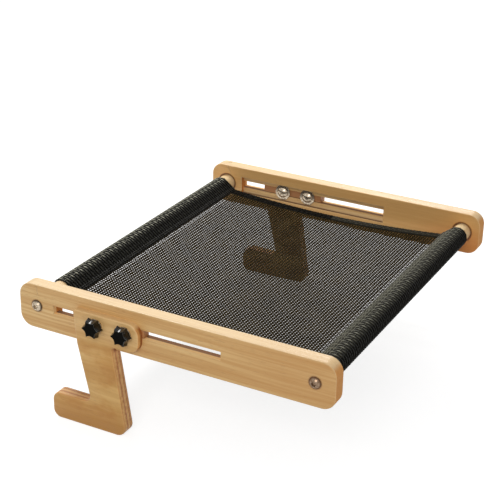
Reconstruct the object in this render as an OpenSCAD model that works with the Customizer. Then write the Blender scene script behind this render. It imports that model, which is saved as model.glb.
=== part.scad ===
// Cat hammock: a taut mesh sling on a wooden frame.
// Two sliding hooks clamp the frame to a window sill, a bed edge or a shelf.
// +X runs along the rails, away from the sill. +Y runs from the front rail to the back rail. +Z is up.
// The origin lies midway between the rails, level with their undersides.

/* [Rails] */
// Length of each rail
rail_length = 400; // [360:5:520]
// Height of each rail
rail_height = 55; // [50:1:70]
// Thickness of each rail
rail_thickness = 18; // [15:0.5:24]
// Corner radius of each rail
rail_corner = 16; // [6:1:20]
// Width of the frame over both rails
frame_width = 470; // [380:5:600]
// Height of the dowels, slots and knobs above the rails' undersides
axis_height = 29; // [24:0.5:32]

/* [Dowels] */
// Diameter of each cross dowel
dowel_d = 22.5; // [20:0.5:28]
// Distance from a rail's end to the dowel's axis
dowel_inset = 24; // [20:1:36]
// Depth of the dowel's socket in the rail
socket_depth = 9; // [5:0.5:11]
// Gap around the dowel in its socket
socket_gap = 0.6; // [0.3:0.1:1]

/* [Frame bolts] */
// Diameter of the frame bolt's shank
frame_bolt_d = 8; // [6:1:8]
// Diameter of the frame bolt's domed head
frame_head_d = 14; // [12:0.5:16]
// Height of the frame bolt's domed head
frame_head_height = 4.4; // [3.6:0.2:5]
// Width across the flats of the hexagon socket
frame_socket_width = 5; // [4:0.5:6]
// Depth of the hexagon socket
frame_socket_depth = 2.6; // [1.6:0.2:3]
// Length of the frame bolt that reaches into the dowel
frame_bolt_reach = 24; // [20:1:40]
// Outer diameter of the threaded insert in the dowel's end
insert_d = 11; // [10:0.5:13]
// Length of the threaded insert
insert_length = 18; // [12:1:20]

// Height of the straight rim below a bolt head's dome
head_rim = 0.6; // [0.4:0.1:1]

/* [Slots] */
// Distance from the left dowel's axis to the slot
slot_offset = 23; // [18:1:40]
// Length of the slot
slot_length = 217; // [180:1:240]
// Height of the slot
slot_height = 10; // [8:0.5:14]
// Depth of the groove that sinks the washers behind the slot
groove_depth = 6.5; // [5.5:0.5:8]
// Gap between the washers and the groove's long sides
groove_gap = 0.5; // [0.3:0.1:1.5]

/* [Hooks] */
// Thickness of each hook's leg and foot
hook_thickness = 16; // [14:0.5:20]
// Thickness of each hook's plate, in front of the rail
plate_thickness = 8.5; // [7:0.5:12]
// Gap between the rail's underside and the hook's shoulder
shoulder_gap = 0.6; // [0.4:0.1:2]
// Distance from the slot's left end to the hook's left bolt
hook_place = 63; // [40:1:80]
// Distance between the two bolts of a hook
bolt_spacing = 38; // [34:1:50]
// Distance from the left bolt to the hook's left edge at the top
plate_left = 31; // [22:1:40]
// Distance from the right bolt to the hook's round end
plate_right = 18; // [16:1:30]
// Distance from the bolts up to the hook's top edge
plate_above = 13; // [10:0.5:18]
// Distance from the bolts down to the lower edge of the hook's round end
plate_below = 22.5; // [16:0.5:26]
// Corner radius of the hook's round end
plate_round = 14; // [6:1:14]
// Clear height between the rails' undersides and the hook's foot
sill_gap = 73; // [30:1:110]
// Height of the hook's foot
foot_height = 33; // [26:1:50]
// Length of the foot in front of the leg
foot_reach = 54; // [30:1:90]
// Width of the leg at its top
leg_width = 46.5; // [36:0.5:56]
// Sideways lean of the leg's left edge from rail to foot
leg_lean = 17; // [8:1:22]
// Sideways lean of the leg's right edge from plate to heel
heel_lean = 18; // [10:1:28]
// Sideways lean of the plate's left edge from top to rail underside
plate_lean = 4.5; // [0:0.5:8]
// Corner radius of the foot's toe
toe_round = 10; // [4:1:12]
// Corner radius of the heel
heel_round = 12; // [4:1:16]
// Fillet between the foot and the leg
foot_fillet = 8; // [3:1:14]
// Small corner radius of the plate
plate_ease = 3; // [1:0.5:6]

/* [Clamp] */
// Distance from the left bolt to the left end of the sliding key
key_left = 30; // [14:1:36]
// Distance from the right bolt to the right end of the sliding key
key_right = 20; // [14:1:36]
// Gap above and below the key in its slot
key_gap = 0.25; // [0.15:0.05:0.5]
// Recess of the key below the groove's floor
key_recess = 0.6; // [0.4:0.1:2]
// Diameter of the clamp bolt's shank
clamp_bolt_d = 6; // [5:1:8]
// Diameter of the clamp bolt's domed head
clamp_head_d = 15; // [13:0.5:18]
// Height of the clamp bolt's domed head
clamp_head_height = 3.6; // [3:0.2:5]
// Length of the bolt's square neck inside the key
neck_length = 4; // [3:0.5:6]
// Diameter of the washer behind the slot
slot_washer_d = 22; // [18:1:30]
// Diameter of the washer under the knob
knob_washer_d = 18; // [14:1:20]
// Thickness of both washers
washer_thickness = 1.6; // [1:0.2:2.4]
// Gap between a bolt and the holes that it passes through
bolt_gap = 0.3; // [0.2:0.05:0.5]

/* [Knobs] */
// Diameter over the knob's six points
knob_d = 25; // [23:1:32]
// Height of the knob
knob_height = 10.5; // [9.5:0.5:16]
// Diameter of the knob's collar
knob_collar_d = 16; // [14:0.5:20]
// Height of the knob's collar
knob_collar_height = 2; // [1.5:0.5:4]
// Radius of the hollow between two points
scallop_r = 6; // [5:0.5:9]
// Depth of the hollow between two points
scallop_depth = 3.2; // [1.6:0.2:4]
// Rounding of the knob's face edge
knob_edge = 1.4; // [0.8:0.2:2.4]
// Thickness of the knob's face over the bolt
knob_face = 3; // [2:0.5:4]
// Width across the flats of the nut moulded into the knob
nut_width = 10; // [9:0.5:13]
// Height of the nut moulded into the knob
nut_height = 5; // [4:0.5:6.5]
// Running gap between the clamp bolt and the nut
thread_gap = 0.05; // [0.02:0.01:0.1]

/* [Sling] */
// Bare dowel between the front rail and the sling
front_margin = 30; // [8:1:60]
// Bare dowel between the front rail and the right sleeve, which reaches further than the left one
right_margin = 9; // [8:1:60]
// Bare dowel between the back rail and the sling
back_margin = 16; // [8:1:60]
// Drop of the sling's middle below the dowels' axes
sling_sag = 10; // [4:1:40]
// Thickness of one layer of sling fabric
fabric = 1.2; // [0.8:0.1:2]
// Gap between the dowel and its sleeve
sleeve_gap = 0.3; // [0.3:0.1:0.8]
// Distance from the sleeve's round part to its seam
seam_run = 9; // [6:0.5:25]
// Width of the band that is sewn together at the seam
stitch_width = 5; // [3:0.5:6]
// Gap between the sling's sewn pieces
seam_gap = 0.3; // [0.2:0.05:0.5]
// Width of the hem along each open edge of the sling
hem_width = 12; // [6:1:25]

/* [Mesh] */
// Number of openings across the mesh, from seam to seam
mesh_across = 12; // [4:1:12]
// Number of openings along the mesh, from hem to hem
mesh_along = 12; // [4:1:12]
// Width of the bars between the openings
mesh_bar = 14; // [8:1:18]

/* [Hidden] */
$fn = 64;
sling_fn = 1440;
sides = ["front", "back"];
ends = ["left", "right"];
star_points = 6;
hex_sides = 6;

// Distances outwards from the middle of the frame
outer_face = frame_width / 2;
inner_face = outer_face - rail_thickness;
socket_floor = inner_face + socket_depth;
groove_floor = inner_face + groove_depth;
hook_face = outer_face + plate_thickness;
knob_seat = hook_face + washer_thickness;
washer_seat = groove_floor - washer_thickness;

// Places along the rails
dowel_x = rail_length / 2 - dowel_inset;
slot_left = slot_offset - dowel_x;
hook_x = slot_left + hook_place;

// Bores that the bolts pass through
frame_bore = frame_bolt_d + 2 * bolt_gap;
clamp_bore = clamp_bolt_d + 2 * bolt_gap;
insert_bore = insert_d + 2 * thread_gap;

// Sleeves round the dowels
sleeve_in_r = dowel_d / 2 + sleeve_gap;
sleeve_out_r = sleeve_in_r + fabric;
seam_reach = sleeve_out_r + seam_run;

// The sling follows one arc through both dowels' axes
sling_r = (dowel_x * dowel_x + sling_sag * sling_sag) / (2 * sling_sag);
sling_centre = axis_height - sling_sag + sling_r;
seam_angle = asin(dowel_x / sling_r) - asin(seam_reach / (2 * sling_r));
seam_x = dowel_x - seam_reach * cos(seam_angle) - seam_gap;
sling_front = inner_face - front_margin;
sling_back = inner_face - back_margin;
right_front = inner_face - right_margin;
panel_front = sling_front - hem_width - seam_gap;
panel_back = sling_back - hem_width - seam_gap;

// Each opening in the mesh, with its bar
mesh_pitch_across = (2 * seam_x - mesh_bar) / mesh_across;
mesh_pitch_along = (panel_front + panel_back - mesh_bar) / mesh_along;

// Colours
pine = [0.87, 0.71, 0.5];
ply = [0.78, 0.6, 0.38];
beech = [0.93, 0.8, 0.6];
steel = [0.72, 0.72, 0.72];
brass = [0.8, 0.66, 0.32];
black = [0.08, 0.08, 0.08];
mesh_black = [0.2, 0.19, 0.17];

// Unit vector along v
function unit(v) = v / norm(v);

// Place of a dowel along the rails
function dowel_place(end) = end == "left" ? -dowel_x : dowel_x;

// Distance outwards to a sleeve's front end
function sleeve_front(end) = end == "left" ? sling_front : right_front;

// Place of a hook's bolt along the rails
function bolt_place(end) = end == "left" ? hook_x : hook_x + bolt_spacing;

// Width over the corners of a hexagon
function over_corners(flats) = flats / cos(180 / hex_sides);

// Counter-clockwise outline with one radius per corner, from true arcs
module eased_outline(points, radii) {
    difference() {
        union() {
            polygon(points);
            for (i = [0 : len(points) - 1])
                corner_patch(points, radii[i], i, -1);
        }
        for (i = [0 : len(points) - 1])
            corner_patch(points, radii[i], i, 1);
    }
}

// Sliver between a sharp corner and its arc, drawn where the corner turns the given way
module corner_patch(points, radius, i, turn) {
    corner = points[i];
    before = unit(points[(i + len(points) - 1) % len(points)] - corner);
    after = unit(points[(i + 1) % len(points)] - corner);
    half = acos(before * after) / 2;
    reach = radius / tan(half);
    centre = corner + unit(before + after) * radius / sin(half);
    if (radius > 0 && sign(cross(after, before)) == turn)
        difference() {
            polygon([corner, corner + before * reach, centre, corner + after * reach]);
            translate(centre) circle(radius);
        }
}

// Pieces are drawn on the front side, and mirrored for the back side
module on_side(side) {
    if (side == "front") children();
    if (side == "back") mirror([0, 1, 0]) children();
}

// Pieces are drawn at the left end, and mirrored for the right end
module at_end(end) {
    if (end == "left") children();
    if (end == "right") mirror([1, 0, 0]) children();
}

// Turns +Z outwards from a distance along the bolts' line
module outward(distance) {
    translate([0, -distance, axis_height])
        rotate([90, 0, 0]) children();
}

// Flat outline in X and Z, extruded outwards from one distance to another
module slab(from, to) {
    translate([0, -from, 0])
        rotate([90, 0, 0])
            linear_extrude(to - from) children();
}

// Round bar on the bolts' line
module rod(from, to, d) {
    outward(from) cylinder(d = d, h = to - from);
}

// Flat ring on the bolts' line
module washer(from, d, bore) {
    outward(from)
        linear_extrude(washer_thickness)
            difference() {
                circle(d = d);
                circle(d = bore);
            }
}

// Domed bolt head on a short straight rim
module dome(d, height) {
    rise = height - head_rim;
    dome_r = (d * d / 4 + rise * rise) / (2 * rise);
    rotate_extrude()
        intersection() {
            translate([0, height - dome_r]) circle(dome_r);
            square([d / 2, height]);
        }
}

module rail(side) {
    color(pine)
        on_side(side)
            difference() {
                slab(inner_face, outer_face) rail_outline();
                slab(inner_face - groove_depth, groove_floor)
                    slot_outline(slot_washer_d + 2 * groove_gap);
                for (end = ends)
                    translate([dowel_place(end), 0, 0]) {
                        rod(inner_face - socket_depth, socket_floor, dowel_d + 2 * socket_gap);
                        rod(inner_face, outer_face + rail_thickness, frame_bore);
                    }
            }
}

module rail_outline() {
    half = rail_length / 2;
    difference() {
        eased_outline(
            [[-half, 0], [half, 0], [half, rail_height], [-half, rail_height]],
            [rail_corner, rail_corner, rail_corner, rail_corner]
        );
        slot_outline(slot_height);
    }
}

// Long opening round the bolts' line
module slot_outline(height) {
    translate([slot_left, axis_height - height / 2]) square([slot_length, height]);
}

// Hook with a thin plate in front of the rail, and a thick leg and foot below it
module hook(side) {
    plate_width = plate_left + bolt_spacing + plate_right;
    color(ply)
        on_side(side)
            translate([hook_x, 0, 0])
                difference() {
                    slab(hook_face - hook_thickness, hook_face) hook_outline();
                    slab(inner_face - hook_thickness, outer_face)
                        translate([-plate_width, -shoulder_gap])
                            square([2 * plate_width, rail_height]);
                    for (x = [0, bolt_spacing])
                        translate([x, 0, 0])
                            rod(outer_face - hook_thickness, hook_face + hook_thickness, clamp_bore);
                }
}

// Outline round the hook: down its left edge, along the foot, up the leg and round the plate's end
module hook_outline() {
    plate_top = axis_height + plate_above;
    plate_bottom = axis_height - plate_below;
    foot_bottom = -sill_gap - foot_height;
    leg_left = plate_lean - plate_left;
    leg_right = leg_left + leg_width;
    inner_corner = leg_left + leg_lean;
    toe = inner_corner - foot_reach;
    round_end = bolt_spacing + plate_right;
    eased_outline(
        [
            [-plate_left, plate_top],
            [leg_left, 0],
            [inner_corner, -sill_gap],
            [toe, -sill_gap],
            [toe, foot_bottom],
            [leg_right + heel_lean, foot_bottom],
            [leg_right, plate_bottom],
            [round_end, plate_bottom],
            [round_end, plate_top]
        ],
        [
            plate_ease,
            0,
            foot_fillet,
            toe_round,
            toe_round,
            heel_round,
            plate_ease,
            plate_round,
            plate_round
        ]
    );
}

// Wooden key behind the hook, which slides in the rail's slot
module key(side) {
    key_length = key_left + bolt_spacing + key_right;
    key_height = slot_height - 2 * key_gap;
    color(beech)
        on_side(side)
            difference() {
                slab(groove_floor + key_recess, outer_face)
                    translate([hook_x - key_left, axis_height - key_height / 2])
                        square([key_length, key_height]);
                for (end = ends)
                    translate([bolt_place(end), 0, 0]) {
                        rod(inner_face, outer_face + rail_thickness, clamp_bore);
                        outward(groove_floor) neck(neck_length, clamp_bore);
                    }
            }
}

// Square neck that keeps a clamp bolt from turning
module neck(height, width) {
    translate([-width / 2, -width / 2, 0])
        cube([width, width, height]);
}

module dowel(end) {
    color(beech)
        translate([dowel_place(end), 0, 0])
            difference() {
                rod(-socket_floor, socket_floor, dowel_d);
                for (side = sides)
                    on_side(side) {
                        rod(socket_floor - insert_length, socket_floor + socket_depth, insert_bore);
                        rod(socket_floor - frame_bolt_reach - bolt_gap, socket_floor, frame_bore);
                    }
            }
}

module frame_bolt(side, end) {
    color(steel)
        on_side(side)
            translate([dowel_place(end), 0, 0]) {
                rod(socket_floor - frame_bolt_reach, outer_face, frame_bolt_d);
                outward(outer_face)
                    difference() {
                        dome(frame_head_d, frame_head_height);
                        translate([0, 0, frame_head_height - frame_socket_depth])
                            cylinder(
                                d = over_corners(frame_socket_width),
                                h = frame_head_height,
                                $fn = hex_sides
                            );
                    }
            }
}

// Threaded insert in a dowel's end
module insert(side, end) {
    color(brass)
        on_side(side)
            translate([dowel_place(end), 0, 0])
                difference() {
                    rod(socket_floor - insert_length, socket_floor, insert_d);
                    rod(socket_floor - insert_d - insert_length, outer_face, frame_bolt_d + 2 * thread_gap);
                }
}

module clamp_bolt(side, end) {
    color(steel)
        on_side(side)
            translate([bolt_place(end), 0, 0]) {
                rod(washer_seat, knob_seat + knob_height - knob_face - bolt_gap, clamp_bolt_d);
                outward(washer_seat) {
                    neck(washer_thickness + neck_length - bolt_gap, clamp_bolt_d);
                    mirror([0, 0, 1]) dome(clamp_head_d, clamp_head_height);
                }
            }
}

// Wide washer that spans the slot behind the rail
module slot_washer(side, end) {
    color(steel)
        on_side(side)
            translate([bolt_place(end), 0, 0])
                washer(washer_seat, slot_washer_d, sqrt(2) * clamp_bore);
}

module knob_washer(side, end) {
    color(steel)
        on_side(side)
            translate([bolt_place(end), 0, 0])
                washer(hook_face, knob_washer_d, clamp_bore);
}

// Six-pointed knob on a round collar
module knob(side, end) {
    scallop_place = knob_d / 2 + scallop_r - scallop_depth;
    color(black)
        on_side(side)
            translate([bolt_place(end), 0, 0])
                outward(knob_seat)
                    difference() {
                        rotate_extrude() knob_profile();
                        for (i = [0 : star_points - 1])
                            rotate([0, 0, (i + 0.5) * 360 / star_points])
                                translate([scallop_place, 0, -knob_height])
                                    cylinder(r = scallop_r, h = 3 * knob_height);
                        translate([0, 0, -nut_height])
                            cylinder(d = over_corners(nut_width), h = 2 * nut_height, $fn = hex_sides);
                        cylinder(d = clamp_bore, h = knob_height - knob_face);
                    }
}

module knob_profile() {
    eased_outline(
        [
            [0, 0],
            [knob_collar_d / 2, 0],
            [knob_collar_d / 2, knob_collar_height],
            [knob_d / 2, knob_collar_height],
            [knob_d / 2, knob_height],
            [0, knob_height]
        ],
        [0, 0, 0, knob_edge / 2, knob_edge, 0]
    );
}

// Nut moulded into a knob
module knob_nut(side, end) {
    color(brass)
        on_side(side)
            translate([bolt_place(end), 0, 0])
                outward(knob_seat)
                    difference() {
                        cylinder(d = over_corners(nut_width), h = nut_height, $fn = hex_sides);
                        translate([0, 0, -nut_height])
                            cylinder(d = clamp_bolt_d + 2 * thread_gap, h = 3 * nut_height);
                    }
}

// Fabric doubled round a dowel and sewn shut at the seam
module sleeve(end) {
    color(black)
        at_end(end)
            translate([-dowel_x, 0, 0])
                slab(-sling_back, sleeve_front(end))
                    translate([0, axis_height])
                        rotate(-seam_angle)
                            difference() {
                                sleeve_loop(sleeve_out_r, seam_reach, fabric);
                                sleeve_loop(sleeve_in_r, seam_reach - stitch_width, 0);
                            }
}

// Teardrop from a circle to a seam of the given half thickness
module sleeve_loop(r, reach, half_seam) {
    turn = acos((r - half_seam) / reach);
    touch = r * [cos(turn), sin(turn)];
    seam_half = half_seam / sin(turn);
    circle(r);
    polygon([[0, 0], [touch.x, -touch.y], [reach, -seam_half], [reach, seam_half], touch]);
}

// Strip of the sling's arc between the seams
module sling_arc(thickness) {
    intersection() {
        translate([0, sling_centre])
            difference() {
                circle(sling_r + thickness / 2, $fn = sling_fn);
                circle(sling_r - thickness / 2, $fn = sling_fn);
            }
        translate([-seam_x, axis_height - 2 * sling_sag - thickness])
            square([2 * seam_x, 2 * sling_sag + thickness]);
    }
}

// Sheet between the seams and the hems, open in a plain grid
module mesh_panel() {
    color(mesh_black)
        difference() {
            slab(-panel_back, panel_front) sling_arc(fabric);
            translate([0, 0, axis_height - 2 * sling_sag - fabric])
                linear_extrude(2 * sling_sag + 2 * fabric)
                    mesh_openings();
        }
}

module mesh_openings() {
    for (i = [0 : mesh_across - 1], j = [0 : mesh_along - 1])
        translate([
            i * mesh_pitch_across + mesh_bar - seam_x,
            j * mesh_pitch_along + mesh_bar - panel_front
        ])
            square([mesh_pitch_across - mesh_bar, mesh_pitch_along - mesh_bar]);
}

module hem(side) {
    edge = side == "front" ? sling_front : sling_back;
    color(black)
        on_side(side)
            slab(edge - hem_width, edge) sling_arc(2 * fabric);
}

for (side = sides) {
    rail(side);
    hook(side);
    key(side);
    hem(side);
}
for (end = ends) {
    dowel(end);
    sleeve(end);
}
for (side = sides, end = ends) {
    corner = str(side, "_", end);
    frame_bolt(side, end);
    insert(side, end);
    clamp_bolt(side, end);
    slot_washer(side, end);
    knob_washer(side, end);
    knob(side, end);
    knob_nut(side, end);
}
mesh_panel();
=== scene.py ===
import math
from functools import partialmethod

import bmesh
import bpy
from mathutils import Matrix, Vector


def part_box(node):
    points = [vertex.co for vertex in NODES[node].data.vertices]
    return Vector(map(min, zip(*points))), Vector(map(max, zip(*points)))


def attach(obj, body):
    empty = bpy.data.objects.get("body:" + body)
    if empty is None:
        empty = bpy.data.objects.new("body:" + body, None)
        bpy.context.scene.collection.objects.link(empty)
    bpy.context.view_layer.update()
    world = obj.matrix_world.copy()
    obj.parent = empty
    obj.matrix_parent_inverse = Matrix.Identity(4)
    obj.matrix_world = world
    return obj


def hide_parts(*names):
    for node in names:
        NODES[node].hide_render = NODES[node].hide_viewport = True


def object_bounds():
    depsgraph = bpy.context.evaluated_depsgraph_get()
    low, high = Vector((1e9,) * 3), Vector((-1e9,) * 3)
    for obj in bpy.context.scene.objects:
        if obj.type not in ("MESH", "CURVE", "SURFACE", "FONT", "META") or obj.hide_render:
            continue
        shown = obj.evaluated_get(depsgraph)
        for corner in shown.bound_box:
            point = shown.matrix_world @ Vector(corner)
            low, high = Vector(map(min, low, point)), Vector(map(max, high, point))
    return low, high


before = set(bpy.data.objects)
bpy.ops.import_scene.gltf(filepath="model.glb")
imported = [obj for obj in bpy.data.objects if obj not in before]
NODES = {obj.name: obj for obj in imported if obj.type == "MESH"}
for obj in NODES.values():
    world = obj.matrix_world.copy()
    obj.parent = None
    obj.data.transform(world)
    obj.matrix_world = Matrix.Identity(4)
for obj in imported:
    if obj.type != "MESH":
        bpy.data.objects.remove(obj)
cad_low, cad_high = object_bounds()
SIDES = ("front", "back")
ENDS = ("left", "right")
CORNERS = [(side, end) for side in SIDES for end in ENDS]
OUTWARD = {"front": -1.0, "back": 1.0}
X, Y, Z = range(3)


def span(node, axis):
    """Lowest and highest place of a solid along an axis, to the hundredth of a millimetre."""
    return [round(corner[axis], 5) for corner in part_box(node)]


def centre_of(node, axis):
    """Middle of a solid along an axis, to the tenth of a millimetre."""
    return round(sum(corner[axis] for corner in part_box(node)) / 2, 4)


# Places and sizes that the solids' boxes give, in metres
DOWEL_X = centre_of("right_dowel", X)
AXIS_HEIGHT = centre_of("right_dowel", Z)
DOWEL_R = span("right_dowel", X)[1] - DOWEL_X
HEAD_R = span("back_right_frame_bolt", X)[1] - DOWEL_X
BOLT_X = [centre_of(f"back_{end}_clamp_bolt", X) for end in ENDS]
INNER_FACE, HOOK_SEAT = span("back_rail", Y)
HOOK_BACK, HOOK_FACE = span("back_hook", Y)
SLEEVE_FRONT = {end: span(f"{end}_sleeve", Y)[0] for end in ENDS}
SLING_FRONT, SLING_BACK = span("left_sleeve", Y)
HEM_WIDTH = span("front_hem", Y)[1] - SLING_FRONT

# Sizes of the solids that no box gives
CLAMP_BORE_R = 0.0033
SLOT_X = (-0.153, 0.064)
GROOVE_HALF = 0.0115
SLING_SAG = 0.010
FABRIC = 0.0012
SLEEVE_GAP = 0.0003
SEAM_RUN = 0.009

SLOT_MIDDLE = sum(SLOT_X) / 2
SLOT_HALF = (SLOT_X[1] - SLOT_X[0]) / 2
SLEEVE_OUT_R = DOWEL_R + SLEEVE_GAP + FABRIC
SEAM_REACH = SLEEVE_OUT_R + SEAM_RUN
SLING_R = (DOWEL_X**2 + SLING_SAG**2) / (2 * SLING_SAG)
SLING_CENTRE = AXIS_HEIGHT - SLING_SAG + SLING_R
SEAM_ANGLE = math.asin(DOWEL_X / SLING_R) - math.asin(SEAM_REACH / (2 * SLING_R))
SEAM_X = DOWEL_X - SEAM_REACH * math.cos(SEAM_ANGLE)

# Mesh clean-up
MERGE = 1e-6
FLAT = math.radians(0.4)
SHARP = math.radians(32)
CUTS = (-DOWEL_X, DOWEL_X, *BOLT_X, SLOT_MIDDLE)


def linear(red, green, blue):
    """Colour written as 0 to 255, as Blender's sockets take it."""
    def one(value):
        value /= 255.0
        return value / 12.92 if value <= 0.04045 else ((value + 0.055) / 1.055) ** 2.4
    return (one(red), one(green), one(blue), 1.0)


# Node trees

class Bench:
    """Node tree to put nodes in; an input is a value or another node's output."""

    def __init__(self, tree):
        self.tree = tree

    def put(self, kind, inputs=None, **settings):
        """New node; each input goes by its socket's name or number."""
        node = self.tree.nodes.new(kind)
        for name, value in settings.items():
            setattr(node, name, value)
        for key, value in (inputs or {}).items():
            if isinstance(value, bpy.types.NodeSocket):
                self.tree.links.new(value, node.inputs[key])
            else:
                node.inputs[key].default_value = value
        return node

    def out(self, kind, inputs=None, **settings):
        """First output of a new node."""
        return self.put(kind, inputs, **settings).outputs[0]

    def send(self, **results):
        """The tree, with its results joined to a new group output."""
        end = self.put("NodeGroupOutput")
        for name, value in results.items():
            self.tree.links.new(value, end.inputs[name.title()])
        return self.tree

    def maths(self, operation, *values, clamp=False):
        return self.out("ShaderNodeMath", dict(enumerate(values)), operation=operation, use_clamp=clamp)

    times = partialmethod(maths, "MULTIPLY")
    over = partialmethod(maths, "DIVIDE")
    plus = partialmethod(maths, "ADD")
    minus = partialmethod(maths, "SUBTRACT")
    size = partialmethod(maths, "ABSOLUTE")
    larger = partialmethod(maths, "MAXIMUM")
    above = partialmethod(maths, "GREATER_THAN")
    below = partialmethod(maths, "LESS_THAN")

    def raised(self, base, value, factor):
        """The base and a share of a value."""
        return self.maths("MULTIPLY_ADD", value, factor, base)

    def vectors(self, operation, first, second):
        return self.out("ShaderNodeVectorMath", {0: first, 1: second}, operation=operation)

    def toward(self, axis, length):
        """Vector of a length along one axis."""
        return self.out("ShaderNodeCombineXYZ", {axis: length})

    def axes(self, vector):
        return self.put("ShaderNodeSeparateXYZ", {0: vector}).outputs

    def between(self, value, low, high):
        """0 up to low and 1 from high on, smooth between them; where low is the larger, it falls instead."""
        limits = {0: value, 1: low, 2: high, 3: 0.0, 4: 1.0}
        return self.out("ShaderNodeMapRange", limits, interpolation_type="SMOOTHSTEP")

    def blended(self, share, first, second, blend="MIX"):
        """Colour between two, each a node's output or written as 0 to 255."""
        first, second = (linear(*tone) if isinstance(tone, tuple) else tone for tone in (first, second))
        values = {0: share, 6: first, 7: second}
        return self.put("ShaderNodeMix", values, data_type="RGBA", blend_type=blend).outputs[2]

    def washed(self, colour, *washes):
        """Colour under washes of (mask, strength, tone), each over those before it."""
        for mask, strength, tone in washes:
            colour = self.blended(self.times(mask, strength), colour, tone)
        return colour

    def ramp(self, value, tones):
        """Colour by even steps, from the first tone at 0 to the last at 1."""
        node = self.put("ShaderNodeValToRGB", {0: value})
        elements = node.color_ramp.elements
        while len(elements) < len(tones):
            elements.new(0.5)
        for i, tone in enumerate(tones):
            elements[i].position = i / (len(tones) - 1)
            elements[i].color = linear(*tone)
        return node.outputs[0]

    def stretched(self, vector, *scales):
        """Coordinates multiplied along each axis."""
        return self.vectors("MULTIPLY", vector, scales)

    def noise(self, vector, scale, detail=2.0, roughness=0.5):
        values = {"Vector": vector, "Scale": scale, "Detail": detail, "Roughness": roughness}
        return self.out("ShaderNodeTexNoise", values)

    def group(self, tree, inputs):
        """Outputs of a shader node group placed in this tree."""
        return self.put("ShaderNodeGroup", inputs, node_tree=tree).outputs


# Shader node groups

def new_group(name, vectors, numbers, results):
    """Bench and inputs of a new group: its vectors, its numbers with their usual values, and its results."""
    tree = bpy.data.node_groups.new(name, "ShaderNodeTree")
    for label in vectors:
        tree.interface.new_socket(label, in_out="INPUT", socket_type="NodeSocketVector")
    for label, usual in numbers.items():
        tree.interface.new_socket(label, in_out="INPUT", socket_type="NodeSocketFloat").default_value = usual
    for label in results:
        tree.interface.new_socket(label, in_out="OUTPUT", socket_type="NodeSocketFloat")
    return Bench(tree), tree.nodes.new("NodeGroupInput").outputs


BEND_SCALES = (5.0, 16.0, 16.0)
PORE_SCALE = 1500.0


def grain_group():
    """Straight wood grain that runs along X: broad streaks, fine lines and short pores."""
    bench, given = new_group(
        "wood_grain", ("Vector",), {"Streak Scale": 40.0, "Line Scale": 260.0, "Waviness": 0.004},
        ("Streaks", "Lines", "Pores", "Height"),
    )
    bend = bench.noise(bench.stretched(given["Vector"], *BEND_SCALES), 1.0)
    lift = bench.times(bench.minus(bend, 0.5), given["Waviness"])
    shift = bench.out("ShaderNodeCombineXYZ", {1: lift, 2: lift})
    wavy = bench.vectors("ADD", given["Vector"], shift)

    def drawn_out(share, scale, detail, roughness, low, high):
        """Noise drawn out along the grain, as a mask between two of its levels."""
        level = bench.noise(bench.stretched(wavy, share, 1.0, 1.0), scale, detail, roughness)
        return bench.between(level, low, high)

    streaks = drawn_out(0.05, given["Streak Scale"], 2.0, 0.55, 0.30, 0.70)
    lines = drawn_out(0.018, given["Line Scale"], 3.0, 0.6, 0.36, 0.66)
    pores = drawn_out(0.055, PORE_SCALE, 1.0, 0.5, 0.64, 0.74)
    height = bench.minus(lines, bench.times(pores, 0.8))
    return bench.send(streaks=streaks, lines=lines, pores=pores, height=height)


def edge_group():
    """Masks from the face's direction: the sides, eased edges and ends of a board that lies across Y."""
    bench, given = new_group("board_sides", ("Normal",), {}, ("Sides", "Eased", "Ends"))
    axes = bench.axes(given["Normal"])
    across = bench.times(axes[Y], axes[Y])
    along = bench.times(axes[X], axes[X])
    sides = bench.between(across, 0.75, 0.25)
    both = bench.times(across, bench.minus(1.0, across))
    eased = bench.maths("MULTIPLY", both, 4.0, clamp=True)
    ends = bench.between(along, 0.35, 0.85)
    return bench.send(sides=sides, eased=eased, ends=ends)


def ply_group():
    """Layers of plywood by distance from the board's inner face."""
    sizes = {"Depth": 0.0, "Layer": 0.003, "Wobble": 0.0}
    bench, given = new_group("ply_layers", (), sizes, ("Tone", "Glue"))
    depth = bench.plus(given["Depth"], given["Wobble"])
    count = bench.over(depth, given["Layer"])
    tone = bench.between(bench.maths("PINGPONG", count, 1.0), 0.44, 0.56)
    gap = bench.size(bench.minus(bench.maths("FRACT", count), 0.5))
    return bench.send(tone=tone, glue=bench.between(gap, 0.4, 0.5))


SCRATCH_SLANT = (0.4, 0.7, 0.9)
SCRATCH_SCALES = (1.0, 14.0, 14.0)


def wear_group():
    """Fine wear on hard finishes: drifting haze and short scratches."""
    bench, given = new_group("fine_wear", ("Vector",), {"Scale": 300.0}, ("Haze", "Scratches"))
    haze = bench.noise(given["Vector"], given["Scale"], 4.0, 0.6)
    slant = {"Vector": given["Vector"], "Rotation": SCRATCH_SLANT, "Scale": SCRATCH_SCALES}
    lines = bench.noise(bench.out("ShaderNodeMapping", slant), given["Scale"])
    return bench.send(haze=bench.between(haze, 0.3, 0.7), scratches=bench.between(lines, 0.62, 0.7))


def cloth_group():
    """Fine plain weave in two directions, with slow change of tone."""
    bench, given = new_group("cloth_weave", ("Vector",), {"Thread": 0.0008}, ("Height", "Tone"))
    turns = bench.over(math.tau, given["Thread"])
    axes = bench.axes(given["Vector"])
    girth = bench.plus(axes[X], axes[Z])
    warp = bench.maths("SINE", bench.times(girth, turns))
    weft = bench.maths("SINE", bench.times(axes[Y], turns))
    height = bench.raised(0.5, bench.times(warp, weft), 0.5)
    return bench.send(height=height, tone=bench.noise(given["Vector"], 120.0, 3.0, 0.6))


GRAIN = grain_group()
EDGES = edge_group()
PLY = ply_group()
WEAR = wear_group()
CLOTH = cloth_group()


# Finishes

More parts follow.
